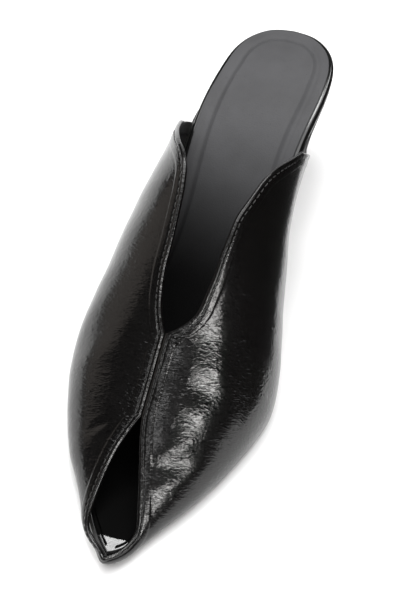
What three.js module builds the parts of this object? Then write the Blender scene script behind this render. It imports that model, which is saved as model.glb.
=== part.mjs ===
// A left mule: one soft upper with a deep V throat and an open toe slit, a wrapped insole board with a
// padded sock on top, a thin outsole and a spool heel with its top piece.
// Millimetres. The toe points to -Y, up is +Z, the inner (medial) side of the foot is -X.
import * as THREE from "three";

// Driving sizes.
const LENGTH = 247;
const BALL_WIDTH = 88;
// The ridge's rows are shares of this; its open end rises a little above it.
const RIDGE_HEIGHT = 88;
const SEAT_HEIGHT = 60;

// Thicknesses and clearances.
const WALL = 1.8;
const GAP = 0.3;
const SOLE_TREAD = 2.8;
const SOLE_SEAT = 2.2;
const BOARD_TOE = 1.8;
const BOARD_SEAT = 3.6;
const SOCK_TOE = 0.7;
const SOCK_SEAT = 0.8;
const PAD_RISE = 1.0;
const TOP_PIECE = 5;

// Where the two fronts are sewn together, counted along the outline from the toe tip (0) to the heel end (1).
const SLIT_TOP = 6 / 14;
const THROAT_POINT = 8 / 14;

// The middle of the shoe's footprint, measured from the back of the seat, which goes to the origin.
const MIDDLE = { across: -4.656, along: -123.659 };

// Underside of the insole board, seen from the side. back: share of the length, up: share of the seat height.
const BED = [
  { back: 0.0000, up: 0.9100 },
  { back: 0.0810, up: 0.9033 },
  { back: 0.1417, up: 0.8833 },
  { back: 0.2024, up: 0.8400 },
  { back: 0.2429, up: 0.7967 },
  { back: 0.2915, up: 0.7267 },
  { back: 0.3441, up: 0.6333 },
  { back: 0.4049, up: 0.5100 },
  { back: 0.4656, up: 0.3817 },
  { back: 0.5263, up: 0.2633 },
  { back: 0.5870, up: 0.1617 },
  { back: 0.6397, up: 0.0933 },
  { back: 0.6883, up: 0.0550 },
  { back: 0.7206, up: 0.0467 },
  { back: 0.8340, up: 0.0467 },
  { back: 0.8745, up: 0.0517 },
  { back: 0.9312, up: 0.0617 },
  { back: 1.0000, up: 0.0833 },
];

// The last's ridge over the foot, from the toe tip to the open end. across: share of half the ball width.
const CREST = [
  { back: 0.9927, across: -0.1568, up: 0.1034 },
  { back: 0.9798, across: -0.1568, up: 0.1170 },
  { back: 0.9555, across: -0.1568, up: 0.1443 },
  { back: 0.9231, across: -0.1568, up: 0.1864 },
  { back: 0.8826, across: -0.1545, up: 0.2420 },
  { back: 0.8340, across: -0.1500, up: 0.3136 },
  { back: 0.7822, across: -0.1432, up: 0.4000 },
  { back: 0.7247, across: -0.1205, up: 0.5045 },
  { back: 0.6664, across: -0.0955, up: 0.6182 },
  { back: 0.6073, across: -0.0409, up: 0.7614 },
  { back: 0.5547, across: 0.0114, up: 0.8920 },
  { back: 0.5142, across: 0.0455, up: 0.9830 },
  { back: 0.4818, across: 0.0682, up: 1.0511 },
  { back: 0.4494, across: 0.0909, up: 1.1250 },
  { back: 0.4190, across: 0.1023, up: 1.1875 },
];

// Where the upper meets the sole, round the toe from the inner open end to the outer one. swell: how far
// the wall swells out above it.
const FEATHER = [
  { back: 0.2287, across: -0.7120, swell: -0.0340 },
  { back: 0.2935, across: -0.6980, swell: 0.1000 },
  { back: 0.3644, across: -0.6890, swell: 0.2800 },
  { back: 0.4291, across: -0.7140, swell: 0.3800 },
  { back: 0.4939, across: -0.7850, swell: 0.4080 },
  { back: 0.5628, across: -0.8930, swell: 0.3780 },
  { back: 0.6356, across: -0.9740, swell: 0.3580 },
  { back: 0.7084, across: -0.9740, swell: 0.2924 },
  { back: 0.7731, across: -0.9076, swell: 0.2020 },
  { back: 0.8338, across: -0.7911, swell: 0.1400 },
  { back: 0.8858, across: -0.6265, swell: 0.0780 },
  { back: 0.9308, across: -0.4826, swell: 0.0980 },
  { back: 0.9608, across: -0.3637, swell: 0.0840 },
  { back: 0.9814, across: -0.2569, swell: 0.0220 },
  { back: 0.9976, across: -0.1568, swell: 0.0136 },
  { back: 0.9777, across: 0.0139, swell: 0.0142 },
  { back: 0.9388, across: 0.1508, swell: 0.0283 },
  { back: 0.8938, across: 0.3115, swell: 0.0456 },
  { back: 0.8443, across: 0.4720, swell: 0.0587 },
  { back: 0.7976, across: 0.6136, swell: 0.0712 },
  { back: 0.7401, across: 0.7477, swell: 0.0842 },
  { back: 0.6814, across: 0.8500, swell: 0.1043 },
  { back: 0.6194, across: 0.8523, swell: 0.1264 },
  { back: 0.5506, across: 0.7705, swell: 0.1651 },
  { back: 0.4858, across: 0.6727, swell: 0.2228 },
  { back: 0.4251, across: 0.5864, swell: 0.2873 },
  { back: 0.3644, across: 0.5295, swell: 0.3000 },
  { back: 0.2996, across: 0.5386, swell: 0.2614 },
  { back: 0.2429, across: 0.5682, swell: 0.2045 },
];

// How far up towards the ridge the upper reaches: 0 is the sole, 1 the ridge.
const THROAT_MEDIAL = [
  { at: 0.5714, reach: 1.000 },
  { at: 0.6060, reach: 0.956 },
  { at: 0.6410, reach: 0.927 },
  { at: 0.6760, reach: 0.909 },
  { at: 0.7110, reach: 0.901 },
  { at: 0.7460, reach: 0.891 },
  { at: 0.7800, reach: 0.881 },
  { at: 0.8150, reach: 0.870 },
  { at: 0.8500, reach: 0.857 },
  { at: 0.8800, reach: 0.838 },
  { at: 0.9000, reach: 0.822 },
  { at: 0.9200, reach: 0.797 },
  { at: 0.9400, reach: 0.757 },
  { at: 0.9600, reach: 0.690 },
  { at: 0.9800, reach: 0.540 },
  { at: 1.0000, reach: 0.285 },
];
const THROAT_LATERAL = [
  { at: 0.5714, reach: 1.000 },
  { at: 0.6060, reach: 0.898 },
  { at: 0.6410, reach: 0.866 },
  { at: 0.6760, reach: 0.846 },
  { at: 0.7110, reach: 0.834 },
  { at: 0.7460, reach: 0.817 },
  { at: 0.7800, reach: 0.801 },
  { at: 0.8150, reach: 0.777 },
  { at: 0.8500, reach: 0.736 },
  { at: 0.8800, reach: 0.697 },
  { at: 0.9000, reach: 0.670 },
  { at: 0.9200, reach: 0.640 },
  { at: 0.9400, reach: 0.597 },
  { at: 0.9600, reach: 0.535 },
  { at: 0.9800, reach: 0.445 },
  { at: 1.0000, reach: 0.330 },
];
const SLIT_MEDIAL = [
  { at: 0.0000, reach: 1.000 },
  { at: 0.0360, reach: 0.840 },
  { at: 0.0710, reach: 0.630 },
  { at: 0.1070, reach: 0.500 },
  { at: 0.1430, reach: 0.455 },
  { at: 0.1790, reach: 0.485 },
  { at: 0.2140, reach: 0.580 },
  { at: 0.2500, reach: 0.685 },
  { at: 0.2860, reach: 0.772 },
  { at: 0.3210, reach: 0.843 },
  { at: 0.3570, reach: 0.900 },
  { at: 0.3930, reach: 0.952 },
  { at: 0.4286, reach: 1.000 },
];
const SLIT_LATERAL = [
  { at: 0.0000, reach: 1.000 },
  { at: 0.0360, reach: 0.855 },
  { at: 0.0710, reach: 0.690 },
  { at: 0.1070, reach: 0.605 },
  { at: 0.1430, reach: 0.625 },
  { at: 0.1790, reach: 0.712 },
  { at: 0.2140, reach: 0.795 },
  { at: 0.2500, reach: 0.854 },
  { at: 0.2860, reach: 0.896 },
  { at: 0.3210, reach: 0.931 },
  { at: 0.3570, reach: 0.961 },
  { at: 0.3930, reach: 0.985 },
  { at: 0.4286, reach: 1.000 },
];

// Half outlines of the insole board and of the outsole, at steps that close up towards both ends.
const BOARD_OUTLINE = [
  { back: 0.0016, medial: 0.0273, lateral: 0.0273 },
  { back: 0.0062, medial: -0.1591, lateral: 0.2174 },
  { back: 0.0198, medial: -0.3044, lateral: 0.3699 },
  { back: 0.0423, medial: -0.4256, lateral: 0.4885 },
  { back: 0.0732, medial: -0.5099, lateral: 0.5572 },
  { back: 0.1119, medial: -0.5595, lateral: 0.5773 },
  { back: 0.1576, medial: -0.6026, lateral: 0.5624 },
  { back: 0.2097, medial: -0.6344, lateral: 0.5217 },
  { back: 0.2670, medial: -0.6434, lateral: 0.4904 },
  { back: 0.3285, medial: -0.6390, lateral: 0.4787 },
  { back: 0.3931, medial: -0.6407, lateral: 0.4923 },
  { back: 0.4596, medial: -0.6857, lateral: 0.5766 },
  { back: 0.5267, medial: -0.7790, lateral: 0.6792 },
  { back: 0.5931, medial: -0.8808, lateral: 0.7780 },
  { back: 0.6577, medial: -0.9197, lateral: 0.7974 },
  { back: 0.7192, medial: -0.9162, lateral: 0.7357 },
  { back: 0.7766, medial: -0.8465, lateral: 0.6075 },
  { back: 0.8286, medial: -0.7445, lateral: 0.4590 },
  { back: 0.8744, medial: -0.6009, lateral: 0.3129 },
  { back: 0.9131, medial: -0.4789, lateral: 0.1787 },
  { back: 0.9439, medial: -0.3672, lateral: 0.0718 },
  { back: 0.9664, medial: -0.2638, lateral: -0.0019 },
  { back: 0.9800, medial: -0.1865, lateral: -0.0987 },
  { back: 0.9846, medial: -0.1568, lateral: -0.1568 },
];
const SOLE_OUTLINE = [
  { back: 0.0032, medial: 0.0273, lateral: 0.0273 },
  { back: 0.0079, medial: -0.1582, lateral: 0.2167 },
  { back: 0.0216, medial: -0.3023, lateral: 0.3680 },
  { back: 0.0443, medial: -0.4225, lateral: 0.4845 },
  { back: 0.0754, medial: -0.5043, lateral: 0.5507 },
  { back: 0.1145, medial: -0.5532, lateral: 0.5681 },
  { back: 0.1607, medial: -0.5956, lateral: 0.5515 },
  { back: 0.2132, medial: -0.6712, lateral: 0.5266 },
  { back: 0.2710, medial: -0.6852, lateral: 0.5257 },
  { back: 0.3331, medial: -0.6733, lateral: 0.5040 },
  { back: 0.3983, medial: -0.6793, lateral: 0.5253 },
  { back: 0.4653, medial: -0.7296, lateral: 0.6136 },
  { back: 0.5330, medial: -0.8279, lateral: 0.7172 },
  { back: 0.6001, medial: -0.9280, lateral: 0.8141 },
  { back: 0.6653, medial: -0.9559, lateral: 0.8241 },
  { back: 0.7274, medial: -0.9473, lateral: 0.7462 },
  { back: 0.7852, medial: -0.8697, lateral: 0.6157 },
  { back: 0.8377, medial: -0.7507, lateral: 0.4614 },
  { back: 0.8839, medial: -0.6013, lateral: 0.3130 },
  { back: 0.9229, medial: -0.4778, lateral: 0.1753 },
  { back: 0.9541, medial: -0.3586, lateral: 0.0704 },
  { back: 0.9768, medial: -0.2438, lateral: -0.0186 },
  { back: 0.9905, medial: -0.1779, lateral: -0.1141 },
  { back: 0.9951, medial: -0.1568, lateral: -0.1568 },
];

// The heel from its top piece up to the seat. rise: share of its height, back and front: share of the length.
const HEEL = [
  { rise: 0.0, back: 0.066, front: 0.186, half: 0.325, square: 2.25 },
  { rise: 0.06, back: 0.07, front: 0.183, half: 0.3, square: 2.2 },
  { rise: 0.16, back: 0.078, front: 0.178, half: 0.248, square: 2.1 },
  { rise: 0.28, back: 0.083, front: 0.174, half: 0.207, square: 2.0 },
  { rise: 0.4, back: 0.083, front: 0.173, half: 0.192, square: 2.0 },
  { rise: 0.52, back: 0.076, front: 0.175, half: 0.21, square: 2.0 },
  { rise: 0.64, back: 0.062, front: 0.18, half: 0.257, square: 2.1 },
  { rise: 0.76, back: 0.043, front: 0.187, half: 0.333, square: 2.15 },
  { rise: 0.88, back: 0.025, front: 0.196, half: 0.425, square: 2.2 },
  { rise: 1.0, back: 0.012, front: 0.205, half: 0.5, square: 2.2 },
];
const HEEL_ACROSS = 0.003;

// A smooth curve through the rows of a table: natural cubic spline of one column.
function smooth(at, values) {
  const n = at.length;
  const step = at.slice(1).map((a, i) => a - at[i]);
  const diag = new Array(n).fill(1);
  const rhs = new Array(n).fill(0);
  const bend = new Array(n).fill(0);
  for (let i = 1; i < n - 1; i++) {
    const slope = (values[i + 1] - values[i]) / step[i] - (values[i] - values[i - 1]) / step[i - 1];
    const carry = i > 1 ? step[i - 1] / diag[i - 1] : 0;
    diag[i] = 2 * (step[i - 1] + step[i]) - carry * step[i - 1];
    rhs[i] = 6 * slope - carry * rhs[i - 1];
  }
  for (let i = n - 2; i > 0; i--) bend[i] = (rhs[i] - step[i] * bend[i + 1]) / diag[i];
  return (x) => {
    let k = 0;
    while (k < n - 2 && x > at[k + 1]) k++;
    const t = x - at[k];
    const h = step[k];
    const rate = (values[k + 1] - values[k]) / h - (h * (2 * bend[k] + bend[k + 1])) / 6;
    return values[k] + t * (rate + t * (bend[k] / 2 + (t * (bend[k + 1] - bend[k])) / (6 * h)));
  };
}

const evenly = (n, from, to) => Array.from({ length: n }, (_, i) => from + ((to - from) * i) / (n - 1));
const column = (rows, name, scale) => rows.map((row) => row[name] * scale);
const half = BALL_WIDTH / 2;

const bedAt = smooth(column(BED, "back", LENGTH), column(BED, "up", SEAT_HEIGHT));
const bed = (y) => bedAt(-y);

const crestAt = evenly(CREST.length, 0, 1);
const crestX = smooth(crestAt, column(CREST, "across", half));
const crestY = smooth(crestAt, column(CREST, "back", -LENGTH));
const crestZ = smooth(crestAt, column(CREST, "up", RIDGE_HEIGHT));

const featherAt = evenly(FEATHER.length, -1, 1);
const featherX = smooth(featherAt, column(FEATHER, "across", half));
const featherY = smooth(featherAt, column(FEATHER, "back", -LENGTH));
const swellAt = smooth(featherAt, column(FEATHER, "swell", half));

const reachOf = (rows) => smooth(column(rows, "at", 1), column(rows, "reach", 1));
const throatReach = { "-1": reachOf(THROAT_MEDIAL), 1: reachOf(THROAT_LATERAL) };
const slitReach = { "-1": reachOf(SLIT_MEDIAL), 1: reachOf(SLIT_LATERAL) };

function reach(w) {
  const side = w < 0 ? -1 : 1;
  const a = Math.abs(w);
  if (a > THROAT_POINT) return throatReach[side](a);
  if (a < SLIT_TOP) return slitReach[side](a);
  return 1;
}

// Shape of a rib of the last, from the sole edge to the ridge.
const RIB_RISE = 0.42;
const RIB_SPREAD = 0.72;
const RIB_LEAN = 0.3;

function rib(w) {
  const a = Math.abs(w);
  const foot = new THREE.Vector3(featherX(w), featherY(w), 0);
  foot.z = bed(foot.y) + GAP;
  const nudge = 1e-4;
  const along = new THREE.Vector2(
    featherX(w + nudge) - featherX(w - nudge),
    featherY(w + nudge) - featherY(w - nudge)
  ).normalize();
  const out = new THREE.Vector2(along.y, -along.x).multiplyScalar(swellAt(w));
  const top = new THREE.Vector3(crestX(a), crestY(a), crestZ(a));
  const ramp = Math.min(Math.max((SLIT_TOP - a) / SLIT_TOP, 0), 1);
  const toe = ramp * ramp * (3 - 2 * ramp);
  const low = new THREE.Vector3(
    foot.x + out.x,
    foot.y + out.y + RIB_LEAN * (top.y - foot.y) * (1 - toe),
    foot.z + RIB_RISE * (top.z - foot.z)
  );
  const high = new THREE.Vector3(
    top.x + RIB_SPREAD * (foot.x - top.x + out.x / 2),
    top.y + RIB_SPREAD * toe * (foot.y - top.y + out.y / 2),
    top.z
  );
  return new THREE.CubicBezierCurve3(foot, low, high, top);
}

const last = (w, s) => rib(w).getPoint(s);

// Outward normal of the last.
function outward(w, s) {
  const nudge = 1e-3;
  const w0 = Math.max(w - nudge, -1);
  const w1 = Math.min(w + nudge, 1);
  const round = last(w1, s).sub(last(w0, s));
  const s0 = Math.max(s - nudge, 0);
  const s1 = Math.min(s + nudge, 1);
  const rise = last(w, s1).sub(last(w, s0));
  return round.cross(rise).normalize();
}

class Skin {
  constructor() {
    this.points = [];
    this.faces = [];
  }
  point(p) {
    this.points.push(p.x, p.y, p.z);
    return this.points.length / 3 - 1;
  }
  quad(a, b, c, d) {
    this.faces.push(a, b, c, a, c, d);
  }
  geometry() {
    const made = new THREE.BufferGeometry();
    made.setAttribute("position", new THREE.Float32BufferAttribute(this.points, 3));
    made.setIndex(this.faces);
    made.computeVertexNormals();
    return made;
  }
}

// Steps round the upper, from the open end to the toe tip, closer where the edge turns quickly.
const AROUND = [
  1, 0.99, 0.98, 0.968, 0.955, 0.94, 0.925, 0.905, 0.88, 0.85, 0.815, 0.78, 0.74, 0.7, 0.665, 0.638, 0.615, 0.595,
  THROAT_POINT, 0.546, 0.518, 0.489, 0.46, SLIT_TOP, 0.405, 0.38, 0.355, 0.33, 0.305, 0.28, 0.255, 0.23, 0.208, 0.186,
  0.165, 0.144, 0.122, 0.1, 0.08, 0.06, 0.042, 0.026, 0,
];
const UPWARD = [0, 0.07, 0.15, 0.24, 0.34, 0.45, 0.56, 0.67, 0.77, 0.86, 0.94, 1];

function upper() {
  const skin = new Skin();
  const tip = AROUND.length - 1;
  const rim = UPWARD.length - 1;
  const sewn = (i) => AROUND[i] <= THROAT_POINT + 1e-6 && AROUND[i] >= SLIT_TOP - 1e-6;
  const pair = (side, i, j) => {
    const w = side * AROUND[i];
    const s = UPWARD[j] * reach(w);
    const on = i === tip ? last(0, s) : last(w, s);
    let normal = outward(i === tip ? side * 0.004 : w, s);
    let depth = WALL;
    if (i === tip || (j === rim && sewn(i))) {
      const other = outward(i === tip ? -side * 0.004 : -w, s);
      const middle = normal.clone().add(other).normalize();
      depth = WALL / Math.max(middle.dot(normal), 0.6);
      normal = middle;
    }
    return [skin.point(on), skin.point(on.clone().addScaledVector(normal, -depth))];
  };
  const inner = AROUND.map((_, i) => UPWARD.map((_, j) => pair(-1, i, j)));
  const outer = AROUND.map((_, i) =>
    UPWARD.map((_, j) => (i === tip || (j === rim && sewn(i)) ? inner[i][j] : pair(1, i, j)))
  );
  for (const [grid, turn] of [
    [inner, false],
    [outer, true],
  ]) {
    const face = (a, b, c, d) => (turn ? skin.quad(d, c, b, a) : skin.quad(a, b, c, d));
    for (let i = 0; i < tip; i++) {
      for (let j = 0; j < rim; j++) {
        face(grid[i][j][0], grid[i + 1][j][0], grid[i + 1][j + 1][0], grid[i][j + 1][0]);
        face(grid[i][j + 1][1], grid[i + 1][j + 1][1], grid[i + 1][j][1], grid[i][j][1]);
      }
      face(grid[i][0][1], grid[i + 1][0][1], grid[i + 1][0][0], grid[i][0][0]);
      if (!(sewn(i) && sewn(i + 1))) {
        face(grid[i][rim][0], grid[i + 1][rim][0], grid[i + 1][rim][1], grid[i][rim][1]);
      }
    }
    for (let j = 0; j < rim; j++) face(grid[0][j][1], grid[0][j][0], grid[0][j + 1][0], grid[0][j + 1][1]);
  }
  return skin.geometry();
}

// A slab that follows the bed: one closed section at each step, joined along the foot and closed at both ends.
function slab(outline, steps, inset, section) {
  const rows = evenly(outline.length, 0, 1);
  const backAt = smooth(rows, column(outline, "back", LENGTH));
  const medialAt = smooth(rows, column(outline, "medial", half));
  const lateralAt = smooth(rows, column(outline, "lateral", half));
  const skin = new Skin();
  const loops = evenly(steps + 2, 0, 1)
    .slice(1, -1)
    .map((t) => {
      const y = -backAt(t);
      const shrink = Math.min(1, Math.sin(Math.PI * t) * 6);
      const from = medialAt(t) + inset(y, -1) * shrink;
      const to = lateralAt(t) - inset(y, 1) * shrink;
      return section(y, from, to).map(([x, z]) => skin.point(new THREE.Vector3(x, y, z)));
    });
  const count = loops[0].length;
  for (let i = 0; i + 1 < loops.length; i++) {
    for (let k = 0; k < count; k++) {
      const next = (k + 1) % count;
      skin.quad(loops[i][next], loops[i + 1][next], loops[i + 1][k], loops[i][k]);
    }
  }
  for (let k = 1; k + 1 < count; k++) {
    const end = loops[loops.length - 1];
    skin.faces.push(loops[0][0], loops[0][k + 1], loops[0][k]);
    skin.faces.push(end[0], end[k], end[k + 1]);
  }
  return skin.geometry();
}

const blend = (a, b, t) => {
  const k = Math.min(Math.max(t, 0), 1);
  return a + (b - a) * k * k * (3 - 2 * k);
};
// 0 at the toe, 1 at the seat.
const WAIST_FRONT = 0.6 * LENGTH;
const WAIST_BACK = 0.3 * LENGTH;
const seatness = (y) => (WAIST_FRONT + y) / (WAIST_FRONT - WAIST_BACK);

const soleDepth = (y) => blend(SOLE_TREAD, SOLE_SEAT, seatness(y));
const FLAT_MARGIN = 0.06;
const soleBottom = (y) => Math.max(0, bed(y) - soleDepth(y) - FLAT_MARGIN);
const boardTop = (y) => bed(y) + GAP + blend(BOARD_TOE, BOARD_SEAT, seatness(y));
const sockTop = (y) => boardTop(y) + GAP + blend(SOCK_TOE, SOCK_SEAT, seatness(y));

const EDGE_ROUND = 1.1;
function soleSection(y, from, to) {
  const low = soleBottom(y);
  const high = bed(y);
  const round = Math.min(EDGE_ROUND, (to - from) / 4);
  const middle = (from + to) / 2;
  return [
    [from + round, low],
    [middle, low],
    [to - round, low],
    [to, low + round * 0.9],
    [to, high],
    [middle, high],
    [from, high],
    [from, low + round * 0.9],
  ];
}

const WRAP_ROUND = 1.5;
function boardSection(y, from, to) {
  const low = bed(y) + GAP;
  const high = boardTop(y);
  const round = Math.min(WRAP_ROUND, (to - from) / 4);
  const foot = Math.min(0.5, (to - from) / 6);
  const middle = (from + to) / 2;
  return [
    [from + foot, low],
    [middle, low],
    [to - foot, low],
    [to, low + foot],
    [to, high - round],
    [to - 0.3 * round, high - 0.3 * round],
    [to - round, high],
    [middle, high],
    [from + round, high],
    [from + 0.3 * round, high - 0.3 * round],
    [from, high - round],
    [from, low + foot],
  ];
}

// The padded middle of the sock. Its edge keeps these distances from the sock's edge.
const PAD_MEDIAL = 5.8;
const PAD_LATERAL = 5.6;
const PAD_SLOPE = 3;
const PAD_BACK = [0.038 * LENGTH, 0.09 * LENGTH];
const PAD_FRONT = [0.6 * LENGTH, 0.72 * LENGTH];
const padRise = (y) =>
  PAD_RISE *
  blend(0, 1, (-y - PAD_BACK[0]) / (PAD_BACK[1] - PAD_BACK[0])) *
  blend(1, 0, (-y - PAD_FRONT[0]) / (PAD_FRONT[1] - PAD_FRONT[0]));
function sockSection(y, from, to) {
  const low = boardTop(y) + GAP;
  const high = sockTop(y);
  const wide = to - from;
  const edge = Math.min(0.5, wide / 8);
  const shrink = Math.min(1, wide / 40);
  const lift = padRise(y);
  const left = from + PAD_MEDIAL * shrink;
  const right = to - PAD_LATERAL * shrink;
  const slope = PAD_SLOPE * shrink;
  const middle = (from + to) / 2;
  return [
    [from, low],
    [middle, low],
    [to, low],
    [to, high - edge],
    [to - edge, high],
    [right, high],
    [right - slope * 0.5, high + lift * 0.75],
    [right - slope, high + lift],
    [middle, high + lift],
    [left + slope, high + lift],
    [left + slope * 0.5, high + lift * 0.75],
    [left, high],
    [from + edge, high],
    [from, high - edge],
  ];
}
const SOCK_INSET = { medial: 1.9, lateral: 2.1, toe: 0.8 };
const sockInset = (y, side) => blend(SOCK_INSET.toe, side < 0 ? SOCK_INSET.medial : SOCK_INSET.lateral, seatness(y));

// The heel: rings that round off to a spool, its top cut to the slope of the seat.
const HEEL_POINTS = 44;
function ring(shape, y0) {
  const points = [];
  const middle = -((shape.back + shape.front) / 2) * LENGTH;
  const deep = ((shape.front - shape.back) / 2) * LENGTH;
  for (let k = 0; k < HEEL_POINTS; k++) {
    const turn = ((k + 0.5) / HEEL_POINTS) * 2 * Math.PI;
    const power = 2 / shape.square;
    const x = Math.sign(Math.sin(turn)) * Math.abs(Math.sin(turn)) ** power;
    const y = Math.sign(Math.cos(turn)) * Math.abs(Math.cos(turn)) ** power;
    points.push([HEEL_ACROSS * half + x * shape.half * half, middle + y * deep + y0]);
  }
  return points;
}

// Joins rings from the lowest to the highest. Each end is closed by strips across it, which follow its slope.
function stack(rings) {
  const skin = new Skin();
  const ids = rings.map((points) => points.map(([x, y, z]) => skin.point(new THREE.Vector3(x, y, z))));
  const n = HEEL_POINTS;
  for (let i = 0; i + 1 < ids.length; i++) {
    for (let k = 0; k < n; k++) {
      const next = (k + 1) % n;
      skin.quad(ids[i][next], ids[i][k], ids[i + 1][k], ids[i + 1][next]);
    }
  }
  const low = ids[0];
  const high = ids[ids.length - 1];
  for (let k = 0; k + 1 < n / 2; k++) {
    const mate = n - 1 - k;
    skin.quad(low[k], low[k + 1], low[mate - 1], low[mate]);
    skin.quad(high[mate], high[mate - 1], high[k + 1], high[k]);
  }
  return skin.geometry();
}

const heelColumns = ["back", "front", "half", "square"];
const heelShape = (rise) =>
  Object.fromEntries(heelColumns.map((name) => [name, smooth(column(HEEL, "rise", 1), column(HEEL, name, 1))(rise)]));
const HEEL_LEVELS = 13;
function heel() {
  return stack(
    evenly(HEEL_LEVELS, 0, 1).map((rise) =>
      ring(heelShape(rise), 0).map(([x, y]) => {
        const roof = soleBottom(y) - GAP;
        return [x, y, TOP_PIECE + rise * (roof - TOP_PIECE)];
      })
    )
  );
}
const TOP_PIECE_INSET = 0.4;
function topPiece() {
  const base = heelShape(0);
  const inset = { ...base, half: base.half - TOP_PIECE_INSET / half };
  return stack([0, TOP_PIECE].map((z) => ring(inset, 0).map(([x, y]) => [x, y, z])));
}

const SOLE_STEPS = 54;
const BOARD_STEPS = 54;
const SOCK_STEPS = 56;

const looks = {
  patent: { color: 0x0b0b0c, roughness: 0.28, metalness: 0 },
  sock: { color: 0x1d1d1f, roughness: 0.7, metalness: 0 },
  wrap: { color: 0x0a0a0b, roughness: 0.2, metalness: 0 },
  sole: { color: 0x141312, roughness: 0.6, metalness: 0 },
  lacquer: { color: 0x121214, roughness: 0.3, metalness: 0 },
  rubber: { color: 0x1a1a1a, roughness: 0.8, metalness: 0 },
};

function piece(name, geometry, look) {
  const mesh = new THREE.Mesh(geometry, new THREE.MeshStandardMaterial(looks[look]));
  mesh.name = name;
  return mesh;
}

const shoe = new THREE.Group();
shoe.name = "mule";
shoe.add(
  piece("outsole", slab(SOLE_OUTLINE, SOLE_STEPS, () => 0, soleSection), "sole"),
  piece("insole_board", slab(BOARD_OUTLINE, BOARD_STEPS, () => 0, boardSection), "wrap"),
  piece("sock", slab(BOARD_OUTLINE, SOCK_STEPS, sockInset, sockSection), "sock"),
  piece("upper", upper(), "patent"),
  piece("heel", heel(), "lacquer"),
  piece("top_piece", topPiece(), "rubber")
);
shoe.position.set(-MIDDLE.across, -MIDDLE.along, 0);

const model = new THREE.Group();
model.add(shoe);

export default model;
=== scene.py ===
"""A left mule in black crinkled leather: an upper with a V throat and an open toe, a padded sock on a
wrapped board, a thin sole and a spool heel, standing empty on a pale floor."""
import math

import bmesh
import bpy
import numpy as np
from mathutils import Matrix, Vector


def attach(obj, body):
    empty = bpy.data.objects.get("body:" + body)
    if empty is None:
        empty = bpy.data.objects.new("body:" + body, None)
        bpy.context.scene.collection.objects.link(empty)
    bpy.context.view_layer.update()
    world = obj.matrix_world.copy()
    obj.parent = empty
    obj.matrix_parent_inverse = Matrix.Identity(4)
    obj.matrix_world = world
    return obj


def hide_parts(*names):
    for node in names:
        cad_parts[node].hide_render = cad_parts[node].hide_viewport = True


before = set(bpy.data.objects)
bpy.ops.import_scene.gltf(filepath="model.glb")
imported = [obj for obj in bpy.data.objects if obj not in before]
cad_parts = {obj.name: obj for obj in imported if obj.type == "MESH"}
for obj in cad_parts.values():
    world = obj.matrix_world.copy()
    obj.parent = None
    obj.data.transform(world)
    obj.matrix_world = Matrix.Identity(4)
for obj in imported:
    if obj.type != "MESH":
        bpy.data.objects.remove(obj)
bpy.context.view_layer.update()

# Driving sizes in millimetres, as in the part. The toe points to -Y, the inner side of the foot is -X.
LENGTH = 247.0
HALF_BALL = 44.0
RIDGE_HEIGHT = 88.0
SEAT_HEIGHT = 60.0
WALL = 1.8
GAP = 0.3
SOLE_TREAD, SOLE_SEAT = 2.8, 2.2
BOARD_TOE, BOARD_SEAT = 1.8, 3.6
SOCK_TOE, SOCK_SEAT = 0.7, 0.8
TOP_PIECE = 5.0
SLIT_TOP = 6 / 14
THROAT_POINT = 8 / 14
# The last is drawn from the back of the seat; this takes it to the part's own origin.
TO_PART = np.array([4.656, 123.659, 0.0])
MM = 0.001

# The photographed view: the camera's place in the part's frame in millimetres, its turn and dip in degrees,
# its focal length, the middle of the photo and of the shoe in it, all in the photo's pixels, and how much
# closer the render frames the shoe.
EYE = Vector((145.16, -304.34, 554.0))
VIEW_TURN = 15.5
VIEW_DIP = 55.9
PHOTO_FOCAL = 900.0
PHOTO_MIDDLE = (200.5, 300.5)
SHOE_MIDDLE = (115.5, 338.5)
CLOSER = 1.62
IMAGE_HEIGHT = 601.0
SENSOR = 36.0


def added(name, data):
    """A new object, put in the scene."""
    made = bpy.data.objects.new(name, data)
    bpy.context.scene.collection.objects.link(made)
    return made


def make_camera():
    """The photo's camera turned on the spot until the shoe is in the middle, with a longer lens."""
    turn, dip = math.radians(VIEW_TURN), math.radians(VIEW_DIP)
    right = Vector((math.cos(turn), math.sin(turn), 0))
    back = Vector((math.sin(turn) * math.cos(dip), -math.cos(turn) * math.cos(dip), math.sin(dip)))
    up = back.cross(right)
    sideways = right * (SHOE_MIDDLE[0] - PHOTO_MIDDLE[0])
    downwards = up * (SHOE_MIDDLE[1] - PHOTO_MIDDLE[1])
    ray = sideways - downwards - back * PHOTO_FOCAL
    swing = (-back).rotation_difference(ray.normalized()).to_matrix()
    axes = Matrix((swing @ right, swing @ up, swing @ back)).transposed()
    camera = added("camera", bpy.data.cameras.new("camera"))
    camera.data.sensor_width = SENSOR
    camera.data.lens = PHOTO_FOCAL * CLOSER * SENSOR / IMAGE_HEIGHT
    camera.data.clip_start, camera.data.clip_end = 0.02, 30
    camera.matrix_world = Matrix.Translation(EYE * MM) @ axes.to_4x4()
    bpy.context.scene.camera = camera


make_camera()

# Underside of the board from the side. Columns: back, share of the length; up, share of the seat height.
BED = [
    (0.0, 0.91), (0.081, 0.9033), (0.1417, 0.8833), (0.2024, 0.84), (0.2429, 0.7967), (0.2915, 0.7267),
    (0.3441, 0.6333), (0.4049, 0.51), (0.4656, 0.3817), (0.5263, 0.2633), (0.587, 0.1617),
    (0.6397, 0.0933), (0.6883, 0.055), (0.7206, 0.0467), (0.834, 0.0467), (0.8745, 0.0517),
    (0.9312, 0.0617), (1.0, 0.0833),
]
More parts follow.
